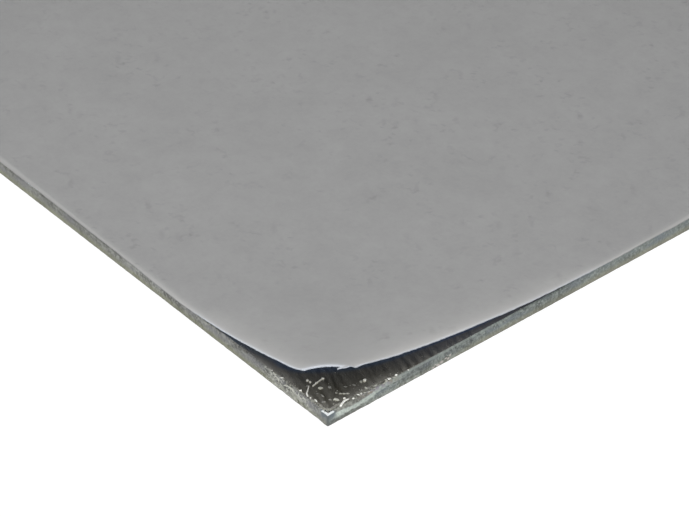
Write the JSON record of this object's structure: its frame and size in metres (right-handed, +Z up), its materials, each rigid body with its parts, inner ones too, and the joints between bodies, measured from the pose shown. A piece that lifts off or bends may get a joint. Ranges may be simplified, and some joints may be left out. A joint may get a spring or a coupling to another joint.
{
  "type": "acrylic mirror sheet",
  "caption": "Flat acrylic mirror sheet lying face up under its grey masking film, which has lifted, curled and torn at one corner and bares the mirror there.",
  "frame": {"origin": "middle of the sheet's underside, on the surface that it lies on", "axes": "+X along the sheet's longer edges, +Y along its shorter edges, +Z up out of the mirror face; the lifted corner is at +X, -Y"},
  "size_m": [0.3, 0.2, 0.0115],
  "materials": {
    "mirrored_acrylic": "polished",
    "masking_film": "satin"
  },
  "bodies": {
    "root": {"mirror_sheet": "mirrored_acrylic", "protective_film": "masking_film"}
  },
  "joints": []
}
